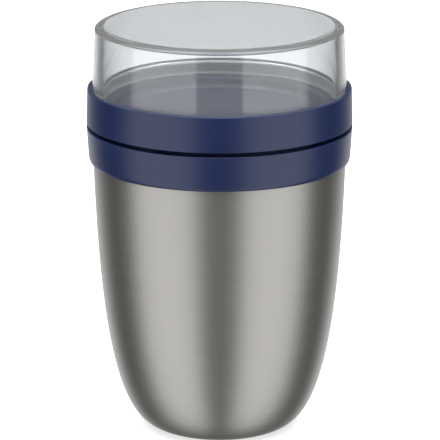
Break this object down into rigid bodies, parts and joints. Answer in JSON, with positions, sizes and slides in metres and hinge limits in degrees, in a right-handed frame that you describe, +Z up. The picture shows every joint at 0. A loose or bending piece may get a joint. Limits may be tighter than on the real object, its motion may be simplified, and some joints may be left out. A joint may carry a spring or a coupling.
{
  "type": "insulated lunch pot",
  "caption": "Insulated lunch pot: a rounded steel vacuum pot with a plastic collar, a screw lid with a dished floor, and a clear cup screwed upside down into the lid.",
  "frame": {"origin": "centre of the foot ring, on the surface that the pot stands on", "axes": "+Z up along the axis that every piece is turned about"},
  "size_m": [0.1068, 0.1068, 0.166],
  "materials": {
    "brushed_steel": "fine brushing round the pot",
    "liner_steel": "satin",
    "blue_plastic": "fine satin moulding texture",
    "clear_plastic": "clear and polished",
    "silicone": "matte",
    "glass_solder": "fused",
    "getter_metal": "pressed and sintered"
  },
  "bodies": {
    "pot": {"outer_shell": "brushed_steel", "inner_liner": "liner_steel", "vacuum_base": "liner_steel", "seal_bead": "glass_solder", "getter": "getter_metal", "base_cover": "brushed_steel", "collar": "blue_plastic", "collar_seal": "silicone"},
    "lid_seal": {"lid_seal": "silicone"},
    "lid": {"screw_lid": "blue_plastic"},
    "cup_seal": {"cup_seal": "silicone"},
    "cup": {"cup": "clear_plastic"}
  },
  "joints": [
    {"name": "lid_rise", "type": "slide", "parent": "pot", "child": "lid_seal", "axis": [0, 0, 1], "range_m": [0, 0.009]},
    {"name": "lid_turn", "type": "hinge", "parent": "lid_seal", "child": "lid", "pos_m": [0, 0, 0.1267], "axis": [0, 0, 1], "range_deg": [0, 360]},
    {"name": "cup_rise", "type": "slide", "parent": "lid", "child": "cup_seal", "axis": [0, 0, 1], "range_m": [0, 0.009]},
    {"name": "cup_turn", "type": "hinge", "parent": "cup_seal", "child": "cup", "pos_m": [0, 0, 0.1409], "axis": [0, 0, 1], "range_deg": [0, 360]}
  ],
  "couplings": [
    {"joint": "lid_rise", "follows": "lid_turn", "m_per_rad": 0.0014324},
    {"joint": "cup_rise", "follows": "cup_turn", "m_per_rad": 0.0014324}
  ]
}
